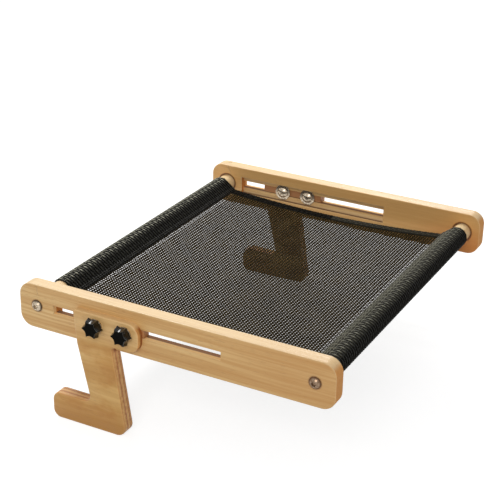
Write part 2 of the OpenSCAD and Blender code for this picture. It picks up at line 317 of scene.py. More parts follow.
class Finish(Bench):
    """Material, with its shader's inputs and the piece's own coordinates."""

    def __init__(self, name):
        self.material = bpy.data.materials.new(name)
        self.material.use_nodes = True
        super().__init__(self.material.node_tree)
        self.shader = self.tree.nodes["Principled BSDF"].inputs
        spot = self.tree.nodes.new("ShaderNodeTexCoord").outputs
        self.place = spot["Object"]
        self.normal = spot["Normal"]

    def done(self, colour, roughness, height, depth):
        """The material, with its colour, its roughness and a bump joined up."""
        bump = self.out("ShaderNodeBump", {"Height": height, "Distance": depth, "Strength": 1.0})
        for name, value in (("Base Color", colour), ("Roughness", roughness), ("Normal", bump)):
            self.tree.links.new(value, self.shader[name])
        return self.material


def slot_inside(finish):
    """1 between the slot's long sides and ends, 0 elsewhere on the rail."""
    axes = finish.axes(finish.place)
    rise = finish.size(finish.minus(axes[Z], AXIS_HEIGHT))
    run = finish.size(finish.minus(axes[X], SLOT_MIDDLE))
    low = finish.below(rise, GROOVE_HALF + MERGE)
    return finish.times(low, finish.below(run, SLOT_HALF + MERGE))


def from_dowel(finish):
    """Distance from the axis of the nearer dowel, which is the frame bolt's axis too."""
    axes = finish.axes(finish.place)
    run = finish.minus(finish.size(axes[X]), DOWEL_X)
    rise = finish.minus(axes[Z], AXIS_HEIGHT)
    return finish.maths("SQRT", finish.plus(finish.times(run, run), finish.times(rise, rise)))


RAIL_GRAIN_SHIFT = (0.0, 0.0, 0.031)
RAIL_TONES = ((216, 170, 106), (228, 186, 122), (238, 200, 138))
# Where the rails' tones, painted light and painted shade start and are full: along and up, through the wood,
# and round the dowels and bolts
WARM_RUN = (0.02, 0.16)
GOLDEN_RUN = (0.10, 0.18)
GOLDEN_RISE = (0.050, 0.005)
INNER_SKIN = (INNER_FACE + 0.0012, INNER_FACE + 0.0002)
SLOT_LIP = (HOOK_SEAT - 0.0062, HOOK_SEAT - 0.0046)
OUTER_SKIN = (HOOK_SEAT - 0.0004, HOOK_SEAT - 0.0001)
SOCKET_SHADE_RING = (DOWEL_R + 0.0036, DOWEL_R + 0.0018)
SEAT_SHADE_RING = (HEAD_R + 0.0016, HEAD_R + 0.0003)


def rail_wood():
    """Pale solid wood under clear lacquer, with its grain along the rails; painted shade in the slot and
    round the dowels and bolt heads, painted light on the tops, the slot's lip and the inner faces.
    """
    wood = Finish("rail_wood_lacquered")
    place = wood.out("ShaderNodeMapping", {"Vector": wood.place, "Location": RAIL_GRAIN_SHIFT})
    grain = wood.group(GRAIN, {"Vector": place, "Streak Scale": 55.0, "Line Scale": 420.0, "Waviness": 0.006})
    board = wood.group(EDGES, {"Normal": wood.normal})
    along, across, height = wood.axes(wood.place)
    across = wood.size(across)
    around = from_dowel(wood)
    slot = slot_inside(wood)
    slot_wall = wood.times(slot, board["Sides"])
    slot_end = wood.times(slot, board["Ends"])
    lip_highlight = wood.times(slot_wall, wood.between(across, *SLOT_LIP))
    inner = wood.between(across, *INNER_SKIN)
    bounce_low_right = wood.times(wood.between(along, *GOLDEN_RUN), wood.between(height, *GOLDEN_RISE))
    socket_shade = wood.times(inner, wood.between(around, *SOCKET_SHADE_RING))
    seat = wood.times(wood.between(across, *OUTER_SKIN), wood.between(around, *SEAT_SHADE_RING))
    colour = wood.washed(
        wood.ramp(grain["Streaks"], RAIL_TONES),
        (grain["Lines"], 0.55, (198, 142, 76)),
        (grain["Pores"], 0.42, (158, 106, 56)),
        (wood.between(along, *WARM_RUN), 0.40, (202, 146, 82)),
        # Paler on the top, bottom and ends: partly paler edge grain, partly painted light for the lit top
        (board["Sides"], 0.45, (244, 218, 170)),
        (board["Ends"], 0.85, (224, 150, 68)),
        # Painted shade: the slot's long walls darkened where the rail's own body shades them
        (slot_wall, 0.85, (104, 54, 20)),
        (slot_end, 0.80, (238, 152, 70)),
        # Painted highlight on the front part of the slot's long walls, by its lip
        (lip_highlight, 0.95, (255, 214, 150)),
        # Painted warm bounce light on the rails' inner faces
        (inner, 0.50, (236, 180, 108)),
        # Deeper painted bounce light low down on the inner faces toward the right end
        (wood.times(bounce_low_right, inner), 0.75, (212, 124, 44)),
        # Painted shade in a ring round each dowel on the inner faces
        (socket_shade, 0.90, (108, 60, 22)),
        # Painted shade in a ring round each frame bolt's head on the outer faces
        (seat, 0.60, (112, 68, 32)),
        (board["Eased"], 0.25, (238, 208, 158)),
    )
    rough = wood.raised(0.36, grain["Lines"], 0.10)
    rough = wood.raised(rough, slot_wall, 0.50)
    rough = wood.raised(rough, board["Ends"], 0.35)
    return wood.done(colour, rough, grain["Height"], 0.00006)


PLIES = 5
PLY_WOBBLE = 0.0008
PLY_TONES = ((200, 148, 76), (219, 172, 100), (230, 188, 118))
# Where the hooks' tones, painted light and painted shade start and are full: up the hook, out from its back,
# and out from the rail's face
PLATE_PAINTED_LIGHT = (0.002, 0.026)
FOOT_PAINTED_SHADE = (-0.060, -0.095)
LIT_TOP_RIM = (0.036, 0.040)
REAR_SHADE = (0.0012, 0.0003)
PLATE_START = (-0.002, 0.002)
PLATE_SHADE = (0.0070, 0.0025)


def hook_ply():
    """Plywood: wavy face veneer, and its layers on the sides, with painted light on the plate and its top
    edge and painted shade toward the foot, behind the leg and beside the rail.
    """
    ply = Finish("hook_plywood")
    veneer = {"Vector": ply.place, "Streak Scale": 34.0, "Line Scale": 240.0, "Waviness": 0.022}
    grain = ply.group(GRAIN, veneer)
    board = ply.group(EDGES, {"Normal": ply.normal})
    axes = ply.axes(ply.place)
    across, height = ply.size(axes[Y]), axes[Z]
    depth = ply.minus(across, HOOK_BACK)
    wobble = ply.times(ply.minus(ply.noise(ply.place, 60.0), 0.5), PLY_WOBBLE)
    layers = ply.group(PLY, {"Depth": depth, "Layer": (HOOK_FACE - HOOK_BACK) / PLIES, "Wobble": wobble})
    figure = ply.noise(ply.stretched(ply.place, 0.6, 1.0, 1.0), 44.0, 3.0, 0.6)
    flame = ply.blended(ply.between(figure, 0.42, 0.66), (255, 255, 255), (238, 222, 198))
    face = ply.washed(
        ply.blended(1.0, ply.ramp(grain["Streaks"], PLY_TONES), flame, "MULTIPLY"),
        # Painted light paler up on the plate, and painted shade browner down toward the foot
        (ply.between(height, *PLATE_PAINTED_LIGHT), 0.85, (238, 197, 134)),
        (ply.between(height, *FOOT_PAINTED_SHADE), 0.35, (190, 128, 60)),
        (grain["Lines"], 0.36, (190, 134, 64)),
        (grain["Pores"], 0.30, (146, 96, 46)),
    )
    pale = ply.blended(grain["Lines"], (244, 192, 116), (226, 166, 90))
    dark = ply.blended(grain["Lines"], (216, 146, 74), (190, 118, 54))
    proud = ply.minus(across, HOOK_SEAT)
    shaded = ply.times(ply.between(proud, *PLATE_SHADE), ply.between(height, *PLATE_START))
    layer = ply.washed(
        ply.blended(layers["Tone"], pale, dark),
        (layers["Glue"], 0.50, (126, 76, 38)),
        # Painted shade along the back of the leg's layers, under the rail
        (ply.between(depth, *REAR_SHADE), 0.70, (96, 58, 30)),
        (shaded, 0.85, (150, 80, 26)),
        # Painted light: the layers on the plate's top edge turn pale like its face
        (ply.between(height, *LIT_TOP_RIM), 0.85, ply.blended(0.6, face, (244, 208, 150))),
    )
    colour = ply.blended(board["Sides"], face, layer)
    colour = ply.washed(colour, (board["Eased"], 0.20, (250, 212, 148)))
    groove = ply.times(layers["Glue"], board["Sides"])
    relief = ply.minus(grain["Height"], ply.times(groove, 2.0))
    return ply.done(colour, ply.raised(0.38, grain["Lines"], 0.12), relief, 0.00007)


DOWEL_TONES = ((242, 206, 152), (253, 230, 184), (224, 182, 124), (188, 142, 90))
# Mid-brown hardwood for the keys, darker than the rails partly as painted shade for the slot beside the plate
KEY_TONES = ((176, 118, 70), (194, 136, 84), (150, 96, 54), (112, 68, 38))


def dowel_wood(name, turn, tones):
    """Sanded hardwood in four tones; turn brings its grain to X."""
    dark, pale, line, pore = tones
    wood = Finish(name)
    place = wood.out("ShaderNodeMapping", {"Vector": wood.place, "Rotation": (0.0, 0.0, turn)})
    grain = wood.group(GRAIN, {"Vector": place, "Streak Scale": 90.0, "Line Scale": 520.0, "Waviness": 0.003})
    body = wood.ramp(grain["Streaks"], (dark, pale))
    colour = wood.washed(body, (grain["Lines"], 0.28, line), (grain["Pores"], 0.30, pore))
    return wood.done(colour, wood.raised(0.48, grain["Lines"], 0.12), grain["Height"], 0.00005)


def plated_metal(name, bright, dull):
    """Plated metal with haze and fine scratches, with painted shade on the rim of a frame bolt's head and a
    painted brown reflection right of the middle.
    """
    metal = Finish(name)
    wear = metal.group(WEAR, {"Vector": metal.place, "Scale": 420.0})
    around = from_dowel(metal)
    head = metal.below(around, HEAD_R + MERGE)
    rim_shade = metal.times(head, metal.between(around, 0.72 * HEAD_R, 0.98 * HEAD_R))
    right = metal.above(metal.axes(metal.place)[X], 0.0)
    colour = metal.washed(
        metal.blended(wear["Haze"], bright, dull),
        (wear["Scratches"], 0.40, dull),
        # Painted shade on the rim of each frame bolt's head
        (rim_shade, 0.85, (46, 36, 26)),
        # Painted brown reflection on everything right of the middle
        (right, 0.70, (112, 80, 56)),
    )
    metal.shader["Metallic"].default_value = 1.0
    return metal.done(colour, metal.raised(0.20, wear["Haze"], 0.14), wear["Scratches"], 0.00001)


def knob_plastic(name, shine, roughness):
    """Black moulded plastic with a faint haze and scuffs."""
    plastic = Finish(name)
    wear = plastic.group(WEAR, {"Vector": plastic.place, "Scale": 260.0})
    black = plastic.blended(wear["Haze"], (6, 5, 3), (10, 8, 5))
    colour = plastic.washed(black, (wear["Scratches"], 0.20, (28, 25, 20)))
    plastic.shader["Specular IOR Level"].default_value = shine
    return plastic.done(colour, plastic.raised(roughness, wear["Haze"], 0.06), wear["Haze"], 0.00004)


YARN_HEIGHT = "yarn_height"
CREST_RISE = (0.00038, 0.00085)
CREST_SIDE = (-0.010, -0.003)


def with_crest_highlight(yarn, colour, crest_highlight):
    """Yarn's colour with a painted highlight where it stands highest, fading out just right of each dowel's
    axis and half as strong on the right sleeve, whose left part gets a painted grey sheen as well.
    """
    height = yarn.put("ShaderNodeAttribute", attribute_name=YARN_HEIGHT).outputs["Fac"]
    uneven = yarn.noise(yarn.place, 170.0, 1.0)
    lit_crest = yarn.times(yarn.between(height, *CREST_RISE), yarn.between(uneven, 0.05, 0.55))
    along = yarn.axes(yarn.place)[X]
    right = yarn.above(along, 0.0)
    dowel = yarn.raised(-DOWEL_X, right, 2.0 * DOWEL_X)
    leftward = yarn.between(yarn.minus(dowel, along), *CREST_SIDE)
    lit_crest = yarn.times(lit_crest, yarn.raised(0.06, leftward, 0.94))
    lit_crest = yarn.times(lit_crest, yarn.raised(1.0, right, -0.5))
    # Painted grey sheen on the left part of the right sleeve
    grey_sheen = yarn.washed(colour, (yarn.times(right, leftward), 0.70, (60, 58, 49)))
    return yarn.blended(lit_crest, grey_sheen, crest_highlight)


def yarn_black(name, low, high, roughness, shine, crest_highlight=None):
    """Coated black yarn with a satin shine; the crest colour, if given, is a painted highlight where the yarn
    stands highest.
    """
    yarn = Finish(name)
    yarn.shader["Specular IOR Level"].default_value = shine
    yarn.shader["Specular Tint"].default_value = linear(255, 246, 226)
    fine = yarn.noise(yarn.place, 900.0)
    slow = yarn.noise(yarn.place, 38.0)
    share = yarn.raised(yarn.times(fine, 0.5), slow, 0.5)
    colour = yarn.blended(yarn.between(share, 0.3, 0.7), low, high)
    if crest_highlight is not None:
        colour = with_crest_highlight(yarn, colour, crest_highlight)
    return yarn.done(colour, yarn.raised(roughness, fine, 0.20), fine, 0.00006)


def lining_cloth():
    """Dense dark cloth under the woven sleeves."""
    cloth = Finish("lining_dark_cloth")
    weave = cloth.group(CLOTH, {"Vector": cloth.place, "Thread": 0.0011})
    dark = cloth.blended(weave["Tone"], (6, 6, 5), (14, 13, 12))
    colour = cloth.washed(dark, (weave["Height"], 0.40, (20, 19, 17)))
    return cloth.done(colour, cloth.raised(0.70, weave["Height"], 0.15), weave["Height"], 0.00015)


def sewing_thread():
    """Twisted charcoal thread."""
    thread = Finish("sewing_thread_charcoal")
    bands = {"Vector": thread.place, "Scale": 420.0, "Distortion": 0.6}
    wave = thread.put("ShaderNodeTexWave", bands, wave_type="BANDS", bands_direction="DIAGONAL")
    twist = wave.outputs["Fac"]
    colour = thread.blended(twist, (24, 24, 22), (58, 56, 52))
    return thread.done(colour, thread.raised(0.45, twist, 0.20), twist, 0.0001)


RAIL_WOOD = rail_wood()
HOOK_PLY = hook_ply()
DOWEL_WOOD = dowel_wood("dowel_pale_wood", math.pi / 2, DOWEL_TONES)
KEY_WOOD = dowel_wood("key_brown_wood", 0.0, KEY_TONES)
STEEL = plated_metal("bolt_zinc_steel", (214, 200, 178), (140, 122, 100))
BRASS = plated_metal("insert_turned_brass", (222, 184, 104), (170, 130, 66))
KNOB_FACE = knob_plastic("knob_face_satin_black", 0.03, 0.34)
KNOB_WALL = knob_plastic("knob_wall_gloss_black", 0.34, 0.20)
MESH_YARN = yarn_black("mesh_coated_yarn", (30, 23, 9), (55, 45, 24), 0.42, 0.02)
# The pale last colour is the painted highlight on the crests of the sleeve and hem yarns
SLEEVE_YARN = yarn_black(
    "sleeve_coated_yarn", (4, 4, 3), (10, 9, 6), 0.34, 0.05, (190, 188, 168)
)
LINING = lining_cloth()
THREAD = sewing_thread()


# Pieces

def linked(name, data):
    """Object in the scene, at the origin."""
    made = bpy.data.objects.new(name, data)
    bpy.context.scene.collection.objects.link(made)
    return made


def piece(name, mesh, material, body, slot, *stands_for):
    """Object for a finished mesh, riding on its body."""
    mesh.name = name
    mesh.materials.clear()
    mesh.materials.append(material)
    made = linked(name, mesh)
    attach(made, body)
    if stands_for:
        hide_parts(*stands_for)
    return made


def coat(material, *names):
    """Material on CAD nodes that stay as they are."""
    for name in names:
        for place in NODES[name].material_slots:
            place.material = material


def smooth(mesh, angle=SHARP):
    mesh.shade_smooth()
    mesh.set_sharp_from_angle(angle=angle)


def skin(shape, *rows):
    """Faces from each closed row of points to the next."""
    for lower, upper in zip(rows, rows[1:]):
        for i in range(len(lower)):
            shape.faces.new((lower[i - 1], lower[i], upper[i], upper[i - 1]))


def closed(shape, name, angle=SHARP):
    """Smooth mesh of a closed shape, with its faces outwards."""
    bmesh.ops.recalc_face_normals(shape, faces=shape.faces)
    mesh = bpy.data.meshes.new(name)
    shape.to_mesh(mesh)
    shape.free()
    smooth(mesh, angle)
    return mesh


def plain_mesh(holder):
    """What an object's modifiers make, as a plain mesh; the object goes."""
    made = bpy.data.meshes.new_from_object(holder.evaluated_get(bpy.context.evaluated_depsgraph_get()))
    source = holder.data
    holder.modifiers.clear()
    bpy.data.objects.remove(holder)
    bpy.data.meshes.remove(source)
    return made


def quarter(radius, steps):
    """Inset and drop of each point on a rounded edge, from the side to the top."""
    turns = [math.pi / 2 * i / steps for i in range(steps + 1)]
    return [(radius * (1 - math.cos(turn)), radius * (1 - math.sin(turn))) for turn in turns]


def polar(angle, radius):
    return Vector((math.cos(angle), math.sin(angle))) * radius


def round_ring(radius, count):
    return [polar(math.tau * i / count, radius) for i in range(count)]


def eased_mesh(node, width, weight_of, segments):
    """Merged copy of a solid, with rounded edges where weight_of(middle, direction) is above 0.

    Flat faces are joined, except across the cuts, so that none closes round a hole.
    """
    mesh = NODES[node].data.copy()
    shape = bmesh.new()
    shape.from_mesh(mesh)
    bmesh.ops.remove_doubles(shape, verts=shape.verts, dist=MERGE)
    for cut in CUTS:
        plane = {"plane_co": (cut, 0.0, 0.0), "plane_no": (1.0, 0.0, 0.0)}
        parts = shape.verts[:] + shape.edges[:] + shape.faces[:]
        bmesh.ops.bisect_plane(shape, geom=parts, dist=MERGE, **plane)

    def on_cut(edge):
        return any(all(abs(vert.co.x - cut) < 2 * MERGE for vert in edge.verts) for cut in CUTS)

    flat = [edge for edge in shape.edges if len(edge.link_faces) == 2 and edge.calc_face_angle() < FLAT]
    bmesh.ops.dissolve_edges(shape, edges=[edge for edge in flat if not on_cut(edge)])
    weights = shape.edges.layers.float.new("bevel_weight_edge")
    for edge in shape.edges:
        if len(edge.link_faces) == 2 and edge.calc_face_angle() > SHARP:
            start, stop = (vert.co for vert in edge.verts)
            edge[weights] = weight_of((start + stop) / 2, (stop - start).normalized())
    shape.to_mesh(mesh)
    shape.free()
    smooth(mesh)
    holder = linked("easing", mesh)
    ease = holder.modifiers.new("ease", "BEVEL")
    ease.limit_method = "WEIGHT"
    ease.width = width
    ease.segments = segments
    ease.use_clamp_overlap = False
    even = holder.modifiers.new("even", "WEIGHTED_NORMAL")
    even.keep_sharp = True
    return plain_mesh(holder)


# Rails and keys

RAIL_EASE = 0.0013
KEY_EASE = 0.0005
SLOT_SHARE = 0.8
BORE_SHARE = 0.4
BORE_REACH = 0.014
EDGE_MARGIN = 0.001
RAIL_CORE = (INNER_FACE + 2 * EDGE_MARGIN, HOOK_SEAT - EDGE_MARGIN)


def board_ease(middle, direction):
    """Full round on the edges of a board's two faces, none on those through it."""
    return 0.0 if abs(direction.y) > 0.5 else 1.0


def rail_ease(middle, direction):
    """Full round on the outline, a little on the slot and the bores, none inside."""
    inside = RAIL_CORE[0] < abs(middle.y) < RAIL_CORE[1]
    rise = middle.z - AXIS_HEIGHT
    in_slot = abs(middle.x - SLOT_MIDDLE) < SLOT_HALF + EDGE_MARGIN
    if in_slot and abs(rise) < GROOVE_HALF + EDGE_MARGIN:
        share = 0.0 if inside else SLOT_SHARE
    elif min(math.hypot(middle.x - x, rise) for x in (-DOWEL_X, DOWEL_X)) < BORE_REACH:
        share = 0.0 if inside else BORE_SHARE
    else:
        share = 1.0
    return share * board_ease(middle, direction)


def wooden_boards():
    for side in SIDES:
        rail, hook, key = (f"{side}_{kind}" for kind in ("rail", "hook", "key"))
        rail_mesh = eased_mesh(rail, RAIL_EASE, rail_ease, segments=4)
        piece(rail + "_eased", rail_mesh, RAIL_WOOD, "frame", "rail_wood", rail)
        piece(hook + "_eased", hook_mesh(side), HOOK_PLY, f"{side}_clamp", "hook_ply", hook)
        key_mesh = eased_mesh(key, KEY_EASE, board_ease, segments=2)
        piece(key + "_eased", key_mesh, KEY_WOOD, f"{side}_clamp", "dowel_wood", key)


# Hooks

SHOULDER = -0.0006
HOOK_EASE = 0.0018
ARC_STEP = math.radians(9)
BORE_SAMPLES = 40
# Corners of the hook's outline: X, Z and the radius that rounds it
HOOK_CORNERS = (
    (-0.1210, 0.0420, 0.003), (-0.1165, 0.0, 0.0), (-0.0995, -0.073, 0.008), (-0.1535, -0.073, 0.010),
    (-0.1535, -0.106, 0.010), (-0.0520, -0.106, 0.012), (-0.0700, 0.0065, 0.003), (-0.0340, 0.0065, 0.014),
    (-0.0340, 0.0420, 0.014),
)


def rounded_corner(before, corner, after, radius):
    """Points of the arc that rounds a corner."""
    if radius == 0.0:
        return [corner]
    to_before, to_after = (before - corner).normalized(), (after - corner).normalized()
    half = to_before.angle(to_after) / 2
    centre = corner + (to_before + to_after).normalized() * (radius / math.sin(half))
    start = corner + to_before * (radius / math.tan(half)) - centre
    sweep = start.angle_signed(corner + to_after * (radius / math.tan(half)) - centre)
    count = max(2, round(abs(sweep) / ARC_STEP))
    return [centre + Matrix.Rotation(-sweep * i / count, 2) @ start for i in range(count + 1)]


def hook_outline():
    """Outline round the hook, with a point where each edge of the leg passes the shoulder."""
    corners = [Vector(corner[:2]) for corner in HOOK_CORNERS]
    line = []
    for i, corner in enumerate(HOOK_CORNERS):
        line += rounded_corner(corners[i - 1], corners[i], corners[(i + 1) % len(corners)], corner[2])
    whole = []
    for i, point in enumerate(line):
        whole.append(point)
        after = line[(i + 1) % len(line)]
        if (point.y - SHOULDER) * (after.y - SHOULDER) < 0.0:
            whole.append(point.lerp(after, (SHOULDER - point.y) / (after.y - point.y)))
    return whole


def drawn_in(line, inset):
    """Counter-clockwise outline with each point moved inwards from both of its edges."""
    moved = []
    for i, point in enumerate(line):
        first, second = (point - line[i - 1]).normalized(), (line[(i + 1) % len(line)] - point).normalized()
        inner_first, inner_second = Vector((-first.y, first.x)), Vector((-second.y, second.x))
        way = (inner_first + inner_second).normalized()
        moved.append(point + way * (inset / way.dot(inner_first)))
    return moved


def filled(shape, *loops):
    """Flat face inside the first loop of points, with the other loops as holes in it."""
    edges = []
    for loop in loops:
        for first, second in zip(loop, loop[1:] + loop[:1]):
            edges.append(shape.edges.get((first, second)) or shape.edges.new((first, second)))
    bmesh.ops.triangle_fill(shape, use_beauty=True, use_dissolve=False, edges=edges)


def hook_mesh(side):
    """Hook with an eased face, a thin plate and a thick leg, and two bores."""
    shape = bmesh.new()
    line = hook_outline()

    def ring(points, distance):
        return [shape.verts.new((p.x, OUTWARD[side] * distance, p.y)) for p in points]

    rings = [ring(drawn_in(line, inset), HOOK_FACE - drop) for inset, drop in quarter(HOOK_EASE, 4)]
    skin(shape, *rings)
    seat = ring(line, HOOK_SEAT)
    skin(shape, rings[0], seat)
    leg = [i for i, p in enumerate(line) if p.y < SHOULDER + MERGE]
    first, last = leg[0], leg[-1]
    back = ring(line[first:last + 1], HOOK_BACK)
    skin(shape, seat[first:last + 1], back)
    bores = []
    for x in BOLT_X:
        circle = [Vector((x, AXIS_HEIGHT)) + p for p in round_ring(CLAMP_BORE_R, BORE_SAMPLES)]
        bores.append((ring(circle, HOOK_FACE), ring(circle, HOOK_SEAT)))
        skin(shape, *bores[-1])
    filled(shape, rings[-1], *(bore[0] for bore in bores))
    filled(shape, seat[last:] + seat[:first + 1], *(bore[1] for bore in bores))
    filled(shape, back)
    return closed(shape, "hook")


# Star knobs

STAR_SAMPLES = 120
STAR_POINTS = 6
KNOB_R = 0.0125
SCALLOP_R = 0.011
SCALLOP_DEPTH = 0.0032
POINT_ROUND = 0.0003
KNOB_HEIGHT = 0.0105
KNOB_TAPER = 0.0015
RIM_ROUND = 0.0013
FOOT_ROUND = 0.0008
FACE_EDGE = 0.0030
FACE_DIP = 0.0001
FACE_NORMAL = 0.8
COLLAR_R = 0.008
COLLAR_HEIGHT = 0.002
COLLAR_EASE = 0.0003
POCKET_R = 0.0059
POCKET_HEIGHT = 0.005
KNOB_BORE_R = 0.0033
KNOB_BORE_HEIGHT = 0.0075
KNOB_SHARP = math.radians(40)


def star_radius(angle):
    """Distance from the knob's axis to its rim: a disc with a hollow between each two points."""
    step = math.tau / STAR_POINTS
    off = (angle % step) - step / 2
    reach = KNOB_R + SCALLOP_R - SCALLOP_DEPTH
    hollow = reach * math.cos(off) - math.sqrt(SCALLOP_R**2 - (reach * math.sin(off)) ** 2)
    return -POINT_ROUND * math.log(math.exp(-KNOB_R / POINT_ROUND) + math.exp(-hollow / POINT_ROUND))


def star_ring(inset):
    """Points of the star's outline, moved in towards its axis."""
    angles = [math.tau * i / STAR_SAMPLES for i in range(STAR_SAMPLES)]
    return [polar(angle, star_radius(angle) - inset) for angle in angles]


def knob_rings():
    """Outlines and heights from the bore's end, round the outside, to the middle of the face."""
    turned = (
        (KNOB_BORE_R, KNOB_BORE_HEIGHT), (KNOB_BORE_R, POCKET_HEIGHT), (POCKET_R, POCKET_HEIGHT),
        (POCKET_R, 0.0), (COLLAR_R - COLLAR_EASE, 0.0), (COLLAR_R, COLLAR_EASE), (COLLAR_R, COLLAR_HEIGHT),
    )
    rings = [(round_ring(radius, STAR_SAMPLES), height) for radius, height in turned]
    rings += [(star_ring(inset), COLLAR_HEIGHT + rise) for rise, inset in quarter(FOOT_ROUND, 3)]
    rings += [(star_ring(KNOB_TAPER + inset), KNOB_HEIGHT - drop) for inset, drop in quarter(RIM_ROUND, 5)]
    rings.append((star_ring(KNOB_TAPER + FACE_EDGE), KNOB_HEIGHT - FACE_DIP))
    rings.append((round_ring(FACE_EDGE, STAR_SAMPLES), KNOB_HEIGHT - 2 * FACE_DIP))
    return rings


def lofted(rings, place):
    """Closed mesh over rings of (points, height), put in space by place(x, y, height)."""
    shape = bmesh.new()
    rows = [[shape.verts.new(place(p.x, p.y, height)) for p in points] for points, height in rings]
    skin(shape, *rows)
    for row, (points, height) in ((rows[0], rings[0]), (rows[-1], rings[-1])):
        middle = shape.verts.new(place(0.0, 0.0, height))
        for i in range(len(row)):
            shape.faces.new((row[i - 1], row[i], middle))
    return closed(shape, "loft", KNOB_SHARP)


def star_knobs():
    rings = knob_rings()
    for side, end in CORNERS:
        node = f"{side}_{end}_knob"
        low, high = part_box(node)
        seat = high.y if side == "front" else low.y
        washer_low, washer_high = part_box(f"{side}_{end}_knob_washer")
        middle = (washer_low.x + washer_high.x) / 2

        def place(x, y, height):
            return (middle + x, seat + OUTWARD[side] * height, AXIS_HEIGHT + y)

        mesh = lofted(rings, place)
        piece(node + "_star", mesh, KNOB_WALL, f"{side}_{end}_star_knob", "knob_plastic", node)
        mesh.materials.append(KNOB_FACE)
        for face in mesh.polygons:
            face.material_index = 1 if abs(face.normal.y) > FACE_NORMAL else 0


# Bolts and washers

BOLT_EASE = 0.0003
WASHER_EASE = 0.0002


def any_edge(middle, direction):
    """Full round on every edge."""
    return 1.0


def metal_pieces():
    for side, end in CORNERS:
        corner = f"{side}_{end}"
        kinds = (
            ("frame_bolt", "frame", BOLT_EASE),
            ("clamp_bolt", f"{side}_clamp", BOLT_EASE),
            ("slot_washer", f"{side}_clamp", WASHER_EASE),
            ("knob_washer", f"{corner}_washer_ring", WASHER_EASE),
        )
        for kind, body, ease in kinds:
            node = f"{corner}_{kind}"
            mesh = eased_mesh(node, ease, any_edge, segments=2)
            piece(node + "_plated", mesh, STEEL, body, "bolt_steel", node)


# Lines that the cloth follows

def profile_mesh(points):
    """Open line of points in space, for the node trees to follow."""
    mesh = bpy.data.meshes.new("profile")
    mesh.from_pydata(points, [(i, i + 1) for i in range(len(points) - 1)], [])
    return mesh


def line_length(points):
    return sum(math.dist(a, b) for a, b in zip(points, points[1:]))


def point_along(line, distance):
    """Point of a line at a distance from its start."""
    for (x, z), after in zip(line, line[1:]):
        step = math.dist((x, z), after)
        if distance <= step:
            share = distance / step
            return x + (after[0] - x) * share, z + (after[1] - z) * share
        distance -= step
    return line[-1]


def sling_line(lift, reach, steps=120):
    """Points of the sling's arc, lifted off its middle line."""
    radius = SLING_R - lift
    turn = math.asin(reach / radius)
    angles = [turn * (2 * i / steps - 1) for i in range(steps + 1)]
    return [(radius * math.sin(a), SLING_CENTRE - radius * math.cos(a)) for a in angles]


def sleeve_line(end, radius, reach, half_seam, arc_steps=56, ply_steps=14):
    """Teardrop round a dowel between the seam's two plies, with its outside to the left of travel."""
    turn = math.acos((radius - half_seam) / reach)
    seam = Vector((reach, half_seam / math.sin(turn)))
    upper = [polar(turn, radius).lerp(seam, i / ply_steps) for i in range(1, ply_steps + 1)]
    lower = [Vector((p.x, -p.y)) for p in reversed(upper)]
    sweep = math.tau - 2 * turn
    arc = [polar(-turn - sweep * i / arc_steps, radius) for i in range(arc_steps + 1)]
    tilt = Matrix.Rotation(-SEAM_ANGLE, 2)
    line = [tuple(tilt @ p + Vector((-DOWEL_X, AXIS_HEIGHT))) for p in lower + arc + upper]
    return line if end == "left" else [(-x, z) for x, z in reversed(line)]


# Node trees of the cloth and the stitches

PITCH = 0.0040
YARN_RISE = 0.00030
OPEN_ROWS = 2.0
STITCH_BOW = 1.6


def geometry_tree(name, lengths, counts=()):
    """Bench and inputs of a tree that makes something from a line."""
    tree = bpy.data.node_groups.new(name, "GeometryNodeTree")
    sockets = [("Geometry", "Geometry"), ("Material", "Material")]
    sockets += [(label, "Float") for label in lengths] + [(label, "Int") for label in counts]
    for label, kind in sockets:
        tree.interface.new_socket(label, in_out="INPUT", socket_type="NodeSocket" + kind)
    tree.interface.new_socket("Geometry", in_out="OUTPUT", socket_type="NodeSocketGeometry")
    return Bench(tree), tree.nodes.new("NodeGroupInput").outputs


def ended_tree(bench, given, geometry):
    """The tree, with its geometry made smooth and given the material."""
    soft = bench.out("GeometryNodeSetShadeSmooth", {"Geometry": geometry})
    done = bench.out("GeometryNodeSetMaterial", {"Geometry": soft, "Material": given["Material"]})
    return bench.send(geometry=done)


def position(bench):
    """X, Y and Z of the point at hand."""
    return bench.axes(bench.out("GeometryNodeInputPosition"))


def swept(bench, line, section):
    """Solid with capped ends, drawn along a line."""
    return bench.out("GeometryNodeCurveToMesh", {"Curve": line, "Profile Curve": section, "Fill Caps": True})


def yarn_section(bench, width, crown):
    """Low triangle, flat below and crowned above, for a yarn to be drawn along."""
    ring = bench.out("GeometryNodeCurvePrimitiveCircle", {"Resolution": 3, "Radius": 1.0}, mode="RADIUS")
    scales = {0: bench.over(crown, 1.5), 1: bench.over(width, math.sqrt(3)), 2: 1.0}
    size = bench.out("ShaderNodeCombineXYZ", scales)
    turned = {"Geometry": ring, "Rotation": (0.0, 0.0, -math.pi / 2), "Scale": size}
    return bench.out("GeometryNodeTransform", turned)


